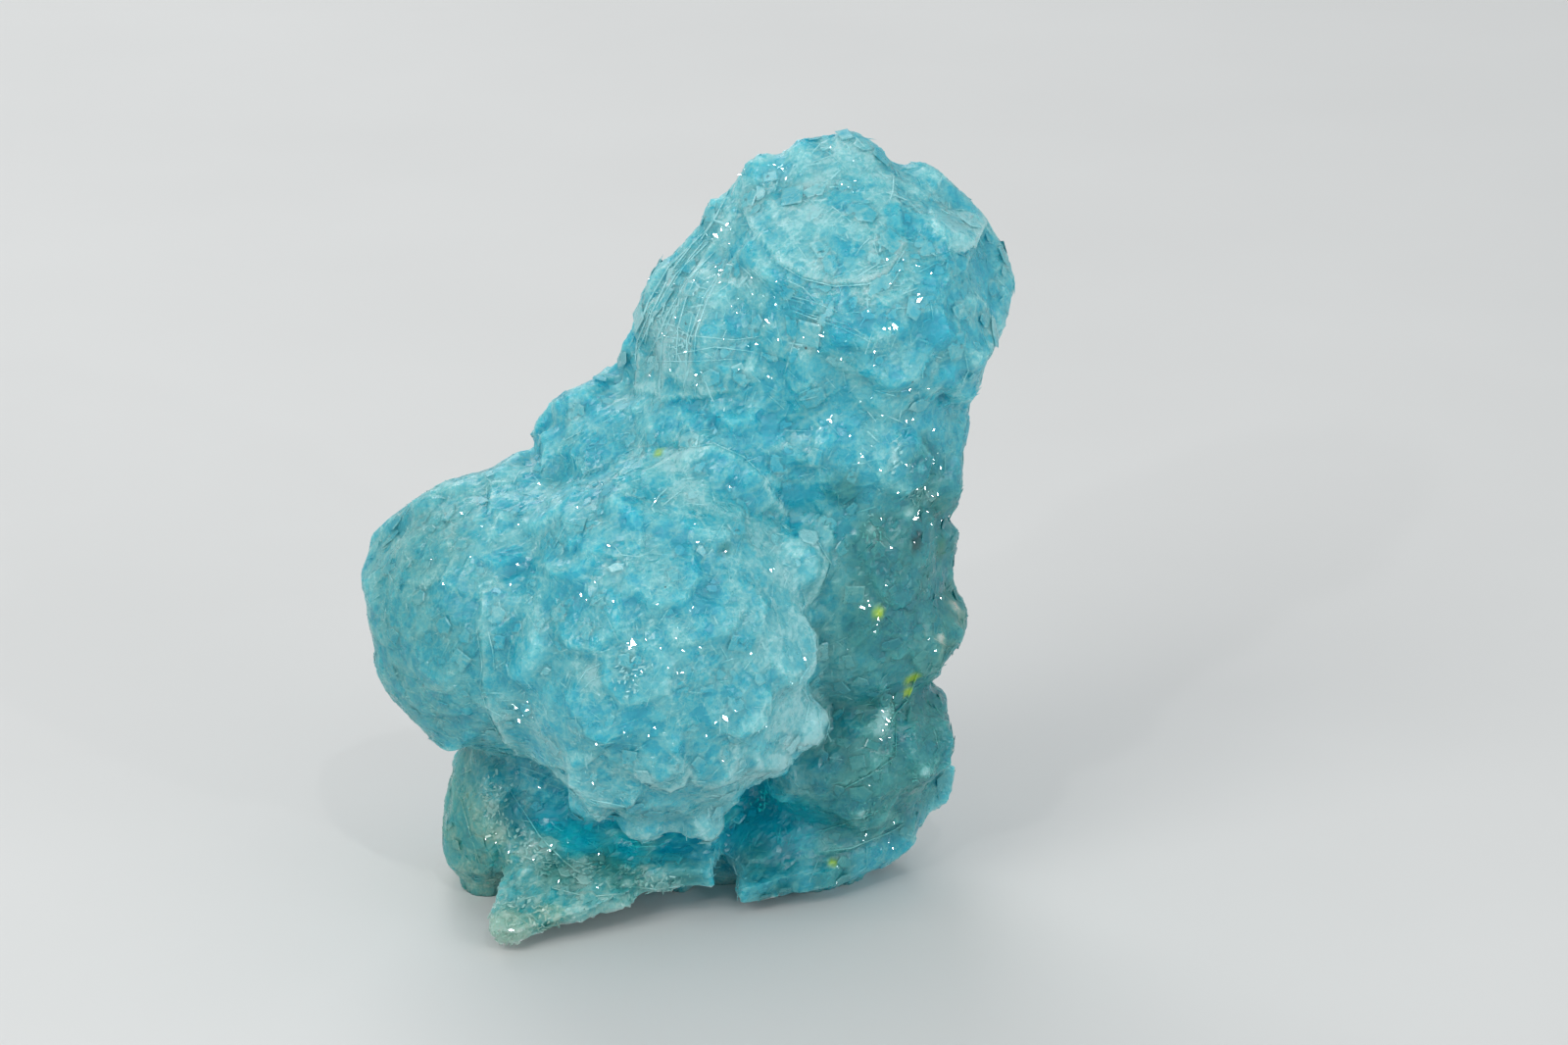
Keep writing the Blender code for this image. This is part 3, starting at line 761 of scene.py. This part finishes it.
def makeGlints(sight, skin, shapes, finish):
    rng = np.random.default_rng(31)
    eye = pixelRay(0, 0)[0]
    places, aims, sizes = [], [], []
    lamps = [Vector(lights[name][0]) * mm for name in glints["lights"]]

    def put(place, rise, size, lamp, lean):
        outward = sight.find_nearest(place)[1]
        aim = ((eye - place).normalized() + (lamp - place).normalized()).normalized()
        places.append(place + outward * max(rise, 0.4 * size) * mm)
        aims.append((aim + Vector(rng.normal(0, lean, 3))).normalized())
        sizes.append(size)

    for index, (x, y, width) in enumerate(glints["faces"]):
        hit = sight.ray_cast(*pixelRay(x, y))[0]
        if hit is None:
            continue
        width *= glints["scale"]
        put(hit, 0.05, width, lamps[index % 3], 0.004)
        for _ in range(glints["satellites"]):
            near = hit + Vector(rng.normal(0, glints["spread"], 3)) * mm * (0.5 + width)
            put(sight.find_nearest(near)[0], 0.03, width * rng.uniform(0.2, 0.5), lamps[index % 3], 0.008)
    for count, (left, top, right, bottom) in glints["fields"]:
        for x, y in zip(rng.uniform(left, right, count), rng.uniform(top, bottom, count)):
            hit = sight.ray_cast(*pixelRay(x, y))[0]
            if hit is not None:
                put(hit, 0.02, rng.uniform(*glints["sparkle"]), lamps[rng.integers(3)], 0.007)
    mesh = bpy.data.meshes.new("glint_places")
    mesh.from_pydata(places, [], [])
    carryValues(mesh, skin, places)
    storeValues(mesh, "size", sizes)
    storeDirections(mesh, "aim", aims)
    return runTree("glint_faces", mesh, placedTree(), {"Crystals": shapes, "Finish": finish, "Seed": 6})


def plateEdges():  # the free side of each big plate, as lines like the lamellae
    edges = []
    for height, _, facing, around in bigPlates:
        corners = np.array(around, float).reshape(-1, 2)
        way = freeWay(facing)
        along = (corners - corners.mean(axis=0)) @ way
        free = along > 0.25 * along.max()
        start = int(np.argmin(free))
        turned = [(start + step) % len(corners) for step in range(len(corners))]
        line = corners[[index for index in turned if free[index]]]
        if len(line) > 1:
            edges.append((0.22 * height, *line.ravel()))
    return edges


def makeLamellae(sight, skin, finish):
    places, lines, sizes = [], [], []
    for width, *numbers in (*lamellae, *plateEdges()):
        corners = list(zip(numbers[::2], numbers[1::2]))
        before = None
        for start, end in zip(corners, corners[1:]):
            count = max(2, round(math.dist(start, end) / 4))
            for step in range(count):
                x, y = (a + (b - a) * step / count for a, b in zip(start, end))
                hit, outward, _, _ = sight.ray_cast(*pixelRay(x, y))
                if hit is None or (before is not None and (hit - places[before]).length > 1.2 * mm):
                    before = None
                    continue
                places.append(hit + outward * 0.15 * width * mm)
                sizes.append(width * mm)
                if before is not None:
                    lines.append((before, len(places) - 1))
                before = len(places) - 1
    mesh = bpy.data.meshes.new("lamella_lines")
    mesh.from_pydata(places, lines, [])
    carryValues(mesh, skin, places)
    storeValues(mesh, "size", sizes)
    return runTree("lamella_edges", mesh, ridgeTree(), {"Sides": 6, "Finish": finish})


# Materials

mineralIor = 1.614


class Mineral:  # the nodes that every finish of the specimen shares
    def __init__(self, name):
        self.material = bpy.data.materials.new(name)
        self.material.use_nodes = True
        self.nodes = self.material.node_tree.nodes
        self.place = self.add("ShaderNodeTexCoord", {})["Object"]

    def add(self, kind, inputs, **settings):
        return addNode(self.material.node_tree, kind, inputs, settings)

    def setShader(self, values):
        for socket, value in values.items():
            feed(self.material.node_tree, self.nodes["Principled BSDF"].inputs[socket], value)

    def maths(self, operation, first, second):
        return self.add("ShaderNodeMath", {0: first, 1: second}, operation=operation)[0]

    def vectors(self, operation, first, second):
        return self.add("ShaderNodeVectorMath", {0: first, 1: second}, operation=operation)[0]

    def attribute(self, name):
        return self.add("ShaderNodeAttribute", {}, attribute_name=name)["Fac"]

    def ramp(self, source, low, high, toLow=0.0, toHigh=1.0):
        return self.add("ShaderNodeMapRange", {
            "Value": source, "From Min": low, "From Max": high, "To Min": toLow, "To Max": toHigh},
            interpolation_type="SMOOTHSTEP")["Result"]

    def noise(self, size, detail=3.0, roughness=0.5, place=None):
        return self.add("ShaderNodeTexNoise", {
            "Vector": place or self.place, "Scale": 1 / (size * mm), "Detail": detail,
            "Roughness": roughness})["Fac"]

    def mix(self, factor, first, second, blend="MIX"):
        return self.add("ShaderNodeMix", {0: factor, 6: first, 7: second},
                        data_type="RGBA", blend_type=blend)[2]

    def warped(self, size, amount):  # object coordinates, pushed about by a noise
        push = self.add("ShaderNodeTexNoise", {
            "Vector": self.place, "Scale": 1 / (size * mm), "Detail": 2})["Color"]
        centred = self.vectors("SUBTRACT", push, (0.5, 0.5, 0.5))
        push = self.add("ShaderNodeVectorMath", {0: centred, "Scale": amount * mm}, operation="SCALE")[0]
        return self.vectors("ADD", self.place, push)

    def cells(self, size, place, feature="F1"):
        scaled = {"Vector": place, "Scale": 1 / (size * mm)}
        return self.add("ShaderNodeTexVoronoi", scaled, feature=feature)

    def walls(self, size, width, place):  # pale walls between cells of a web
        return self.ramp(self.cells(size, place, "DISTANCE_TO_EDGE")["Distance"], 0.0, width, 1.0, 0.0)

    def windows(self, size, place, least):  # some cells of a web, fading out at their walls
        chosen = self.ramp(self.cells(size, place)["Color"], least, least + 0.08)
        inside = self.ramp(self.cells(size, place, "DISTANCE_TO_EDGE")["Distance"], 0.04, 0.16)
        return self.maths("MULTIPLY", chosen, inside)

    def dots(self, size, reach, least):  # a small dot in the middle of some cells
        cells = self.cells(size, self.place)
        chosen = self.ramp(cells["Color"], least, least + 0.02)
        return self.maths("MULTIPLY", chosen, self.ramp(cells["Distance"], reach * 0.6, reach, 1.0, 0.0))

    def streaks(self, size, stretch, fall):  # noise drawn out along a direction of the picture
        lie = self.add("ShaderNodeMapping", {
            "Vector": self.warped(3.0, 1.2), "Rotation": (0, -math.radians(fall), 0)})["Vector"]
        return self.noise(size, 2, 0.6, self.vectors("MULTIPLY", lie, (1 / stretch, 1, 1)))


# Tone of the mineral, from deep clear blue to white frost, at even lighting
toneStops = ((0.0, (0.006, 0.38, 0.53)), (0.25, (0.032, 0.47, 0.585)), (0.5, (0.110, 0.525, 0.595)),
             (0.75, (0.200, 0.59, 0.625)), (1.0, (0.350, 0.71, 0.735)))
# Painted shade among the tints: shade for the recesses, deep partly for the column, lower right and
# skirt, pit for the inside of a pit
tints = {"green": (0.97, 0.76, 0.61), "deepAndShaded": (0.22, 0.56, 0.53), "shade": (0.04, 1.18, 1.17),
         "ash": (1.9, 0.95, 0.85), "pitShade": (0.25, 0.36, 0.36),
         "yellowGreen": (0.36, 0.60, 0.04), "ochre": (1.25, 0.86, 0.60), "speck": (0.05, 0.12, 0.12)}
# Patterns in the colour: sizes in millimetres, and how much each of them lightens or darkens
pattern = {
    "web": {"size": 0.8, "width": 0.07, "amount": 0.62},
    "fineWeb": {"size": 0.4, "width": 0.13, "share": 0.75},
    "windows": {"sizes": (0.95, 1.7), "least": (0.56, 0.60), "amount": 0.30},
    "clouds": {"size": 1.7, "amount": 0.12}, "mottle": {"size": 0.26, "amount": 0.21},
    "streaks": {"size": 0.16, "stretch": 9, "falls": (("streak", 24), ("layer", -4)), "amount": 0.30},
    "specks": {"size": 2.1, "reach": 0.045, "least": 0.60},
}
# How strongly each trace of the crust's own shape lightens its colour; relief and sharp also paint light
# on ridges and shade in hollows
traces = {"tone": 0.09, "plate": 1.0, "rim": 0.26, "relief": 0.05, "sharp": 0.04}


def mineralColour(m, extraPale):
    place = m.warped(0.7, 0.6)
    web, fine, windows = pattern["web"], pattern["fineWeb"], pattern["windows"]
    net = m.maths("MULTIPLY", m.walls(fine["size"], fine["width"], place), fine["share"])
    net = m.maths("MAXIMUM", m.walls(web["size"], web["width"], place), net)
    net = m.maths("MULTIPLY", net, m.ramp(m.noise(1.6, 3), 0.36, 0.56, 0.3, 1.0))
    net = m.maths("MULTIPLY", net, m.attribute("web"))
    blue = m.maths("MAXIMUM", m.windows(windows["sizes"][0], place, windows["least"][0]),
                   m.windows(windows["sizes"][1], m.warped(1.1, 0.8), windows["least"][1]))
    tone = m.attribute("pale")
    for name, roughness in (("clouds", 0.65), ("mottle", 0.8)):
        size, amount = pattern[name].values()
        tone = m.maths("ADD", tone, m.ramp(m.noise(size, 4, roughness), 0.3, 0.7, -amount, amount))
    tone = m.maths("ADD", tone, m.maths("MULTIPLY", net, web["amount"]))
    tone = m.maths("SUBTRACT", tone, m.maths("MULTIPLY", blue, windows["amount"]))
    streaks = pattern["streaks"]
    for name, fall in streaks["falls"]:
        drawn = m.streaks(streaks["size"], streaks["stretch"], fall)
        drawn = m.ramp(drawn, 0.56, 0.70, -0.05, streaks["amount"])
        tone = m.maths("ADD", tone, m.maths("MULTIPLY", drawn, m.attribute(name)))
    for name, amount in traces.items():
        tone = m.maths("ADD", tone, m.maths("MULTIPLY", m.attribute(name), amount))
    # Painted shade: the tone darkens in the recesses and hollows
    tone = m.maths("MULTIPLY", tone, m.ramp(m.attribute("shade"), 0.0, 1.0, 1.0, 0.55))
    tone = m.maths("MAXIMUM", m.maths("ADD", tone, extraPale), 0.12)
    stops = m.nodes.new("ShaderNodeValToRGB")
    stops.color_ramp.interpolation = "LINEAR"
    for index, (at, colour) in enumerate(toneStops):
        band = stops.color_ramp.elements
        stop = band[index] if index < 2 else band.new(at)
        stop.position = at
        stop.color = (*colour, 1)
    feed(m.material.node_tree, stops.inputs["Fac"], tone)
    colour = stops.outputs["Color"]
    for name in ("green", "deepAndShaded", "shade", "ash", "pitShade"):
        colour = m.mix(m.attribute(name), colour, m.mix(1.0, colour, tints[name], "MULTIPLY"))
    rust = m.maths("MAXIMUM", m.attribute("ochre"), m.ramp(m.noise(1.1, 3, 0.6), 0.70, 0.80, 0.0, 0.2))
    colour = m.mix(rust, colour, m.mix(1.0, colour, tints["ochre"], "MULTIPLY"))
    colour = m.mix(m.dots(*pattern["specks"].values()), colour, tints["speck"])
    return m.mix(m.attribute("spot"), colour, tints["yellowGreen"])


def crustMaterial():
    m = Mineral("crust_crystal")
    bump = m.add("ShaderNodeBump", {
        "Strength": 0.35, "Distance": 0.06 * mm, "Height": m.noise(0.22, 2, 0.6)})["Normal"]
    # Light spreads inside the crystal, a little further in blue than in red
    m.setShader({"Base Color": mineralColour(m, 0.0), "Normal": bump, "IOR": mineralIor,
                 "Roughness": m.ramp(m.noise(0.8, 3), 0.35, 0.65, 0.26, 0.5),
                 "Subsurface Weight": 1.0, "Subsurface Radius": (0.75, 1.0, 1.1),
                 "Subsurface Scale": 1.8 * mm, "Transmission Weight": 0.13})
    depth = m.add("ShaderNodeVolumeAbsorption", {"Color": (0.30, 0.88, 0.93), "Density": 500})
    feed(m.material.node_tree, m.nodes["Material Output"].inputs["Volume"], depth["Volume"])
    return m.material


finishes = {  # edge: how much paler a crystal's rim is, spread: how much crystals differ
    "clear_shard": {"clear": 0.25, "rough": 0.32, "pale": 0.02, "spread": 0.06, "edge": 0.16},
    "frost_needle": {"clear": 0.15, "rough": 0.42, "pale": 0.20, "spread": 0.08, "edge": 0.0},
    "lamella_edge": {"clear": 0.1, "rough": 0.25, "pale": 0.34, "spread": 0.04, "edge": 0.0},
    "frost_grain": {"clear": 0.1, "rough": 0.2, "pale": 0.85, "spread": 0.25, "edge": 0.0},
    "glint_face": {"clear": 0.25, "rough": 0.06, "pale": 0.15, "spread": 0.05, "edge": 0.1},
}


def crystalMaterial(name, look):
    m = Mineral(name)
    pale, spread, rough = look["pale"], look["spread"], look["rough"]
    extra = m.maths("ADD", m.ramp(m.attribute("tint"), 0.0, 1.0, pale - spread, pale + spread),
                    m.maths("MULTIPLY", m.attribute("brim"), look["edge"]))
    m.setShader({"Base Color": mineralColour(m, extra), "IOR": mineralIor,
                 "Roughness": m.ramp(m.noise(0.6, 2), 0.35, 0.7, rough * 0.6, rough * 1.7),
                 "Transmission Weight": look["clear"]})
    return m.material


# Stage: floor, lights, camera

def makeStage():
    bpy.ops.mesh.primitive_plane_add(size=1.6, location=(0, 0, 0))
    floor = bpy.context.object
    floor.name = "floor"
    m = Mineral("pale_floor")
    speckle = m.mix(m.noise(30, 3), (0.62, 0.62, 0.61), (0.67, 0.67, 0.66))
    m.setShader({"Base Color": speckle, "Roughness": 0.6})
    floor.data.materials.append(m.material)


lights = {  # place and size in millimetres, power in watts
    "key": ((-210, -260, 300), 240, 0.64, (1, 0.99, 0.97)),
    "fill": ((300, -220, 140), 240, 0.34, (0.93, 0.97, 1.0)),
    "back": ((-100, 280, 260), 260, 0.42, (1, 1, 1)),
    "glint_left": ((-150, -330, 230), 14, 0.14, (1, 1, 1)),
    "glint_top": ((60, -300, 380), 14, 0.14, (1, 1, 1)),
    "glint_right": ((230, -330, 200), 14, 0.10, (1, 1, 1)),
}


def makeLights():
    world = bpy.data.worlds.new("studio")
    bpy.context.scene.world = world
    world.use_nodes = True
    world.node_tree.nodes["Background"].inputs["Color"].default_value = (0.93, 0.97, 1.0, 1)
    world.node_tree.nodes["Background"].inputs["Strength"].default_value = 0.57
    for name, (place, size, power, colour) in lights.items():
        lamp = bpy.data.lights.new(name, "AREA")
        lamp.energy = power
        lamp.color = colour
        lamp.shape = "DISK"
        lamp.size = size * mm
        holder = bpy.data.objects.new(name, lamp)
        holder.location = Vector(place) * mm
        aim = Vector((0, 0, 18)) * mm
        holder.rotation_mode = "QUATERNION"
        holder.rotation_quaternion = (aim - holder.location).to_track_quat("-Z", "Y")
        bpy.context.scene.collection.objects.link(holder)


def makeCamera():
    eye, ahead = pixelRay(cameraPlan["photoWidth"] / 2, cameraPlan["photoHeight"] / 2)
    lens = bpy.data.cameras.new("camera")
    lens.lens = cameraPlan["lens"]
    lens.sensor_width = cameraPlan["sensor"]
    lens.clip_start = 0.01
    lens.clip_end = 10
    camera = bpy.data.objects.new("camera", lens)
    camera.location = eye
    camera.rotation_mode = "QUATERNION"
    camera.rotation_quaternion = ahead.to_track_quat("-Z", "Y")
    bpy.context.scene.collection.objects.link(camera)
    bpy.context.scene.camera = camera


# Build

bpy.context.scene.view_settings.view_transform = "Standard"
makeCamera()
makeStage()
makeLights()
print("stage ready")

crust = makeCrust()
weight, patch, sight = paintZones(crust)
print(f"crust ready: {len(crust.data.polygons)} faces")

tree = crystalTree()
shards = shapeSet("shard", (
    ((-0.4, -0.5), (0.3, -0.55), (0.62, 0.05), (0.25, 0.6), (-0.35, 0.45)),
    ((-0.5, -0.3), (0.1, -0.6), (0.5, -0.2), (0.55, 0.35), (-0.1, 0.55), (-0.45, 0.3)),
    ((-0.3, -0.6), (0.35, -0.4), (0.4, 0.5), (-0.15, 0.7), (-0.45, 0.1)),
    ((-0.6, -0.2), (-0.1, -0.5), (0.6, -0.3), (0.45, 0.3), (-0.2, 0.5)),
    ((-0.25, -0.65), (0.25, -0.65), (0.45, 0.0), (0.2, 0.6), (-0.3, 0.55), (-0.4, -0.1)),
    ((-0.5, -0.45), (0.45, -0.5), (0.5, 0.45), (-0.45, 0.5))), 0.8, 0.10)
needles = shapeSet("needle", (
    ((-0.04, -0.5), (0.04, -0.5), (0.06, 0.4), (0.0, 0.6), (-0.05, 0.45)),
    ((-0.03, -0.7), (0.05, -0.6), (0.04, 0.6), (-0.03, 0.7)),
    ((-0.05, -0.4), (0.0, -0.55), (0.06, 0.35), (0.02, 0.5), (-0.04, 0.4)),
    ((-0.02, -0.8), (0.03, -0.7), (0.05, 0.1), (0.02, 0.8), (-0.03, 0.2)),
    ((-0.06, -0.35), (0.05, -0.4), (0.05, 0.3), (-0.04, 0.45)),
    ((-0.03, -0.6), (0.03, -0.6), (0.03, 0.6), (-0.03, 0.6))), 0.6, 0.07)
slivers = shapeSet("sliver", (
    ((-0.5, -0.1), (0.1, -0.28), (0.55, 0.0), (0.0, 0.2)),
    ((-0.3, -0.35), (0.45, -0.1), (0.1, 0.4)),
    ((-0.5, 0.0), (0.3, -0.18), (0.5, 0.08), (-0.2, 0.2)),
    ((-0.25, -0.5), (0.2, -0.1), (0.1, 0.5), (-0.2, 0.2)),
    ((-0.35, -0.2), (0.35, -0.35), (0.3, 0.25)),
    ((-0.45, -0.12), (0.45, -0.16), (0.4, 0.14), (-0.4, 0.18))), 0.85, 0.12)
finish = {name: crystalMaterial(name, look) for name, look in finishes.items()}

upper = np.clip(weight["head"] + weight["limb"], 0, 1)
grows = {
    "head_shards": (upper, shards, "clear_shard", {
        "spacing": 0.8, "perSquareMm": 0.45, "size": (0.5, 1.4), "lean": (-2.5, 3),
        "sheaf": 5.0, "spread": 0.9, "rise": -0.02, "anywhere": False}),
    "body_shards": (1 - upper, shards, "clear_shard", {
        "spacing": 0.8, "perSquareMm": 0.35, "size": (0.4, 1.1), "lean": (-3, 4),
        "sheaf": 4.0, "spread": 1.4, "rise": -0.02, "anywhere": False}),
    "head_needles": (upper, needles, "frost_needle", {
        "spacing": 0.3, "perSquareMm": 1.0, "size": (0.5, 1.3), "lean": (-1, 1.5),
        "sheaf": 4.0, "spread": 0.4, "rise": -0.01, "anywhere": False}),
    "frost_grains": (patch["grainy"], slivers, "frost_grain", {
        "spacing": 0.17, "perSquareMm": 13.0, "size": (0.18, 0.46), "lean": (-30, 30),
        "sheaf": 1.0, "spread": 3.0, "rise": 0.03, "anywhere": True}),
    "body_needles": (1 - upper - 0.5 * weight["bellyRight"], needles, "frost_needle", {
        "spacing": 0.3, "perSquareMm": 1.2, "size": (0.4, 1.1), "lean": (-1, 2),
        "sheaf": 2.5, "spread": 1.2, "rise": -0.01, "anywhere": False}),
}
pieces = []
for seed, (name, (grow, shapes, look, settings)) in enumerate(grows.items(), 1):
    pieces.append(growCrystals(name, tree, crust.data, grow, settings, shapes, finish[look], seed))
pieces.append(makeLamellae(sight, crust.data, finish["lamella_edge"]))
pieces.append(makeGlints(sight, crust.data, slivers, finish["glint_face"]))

crust.data.materials.append(crustMaterial())
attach(crust, "root")
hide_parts("hemimorphite")
for piece in pieces:
    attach(piece, "root")
print("crystals ready")
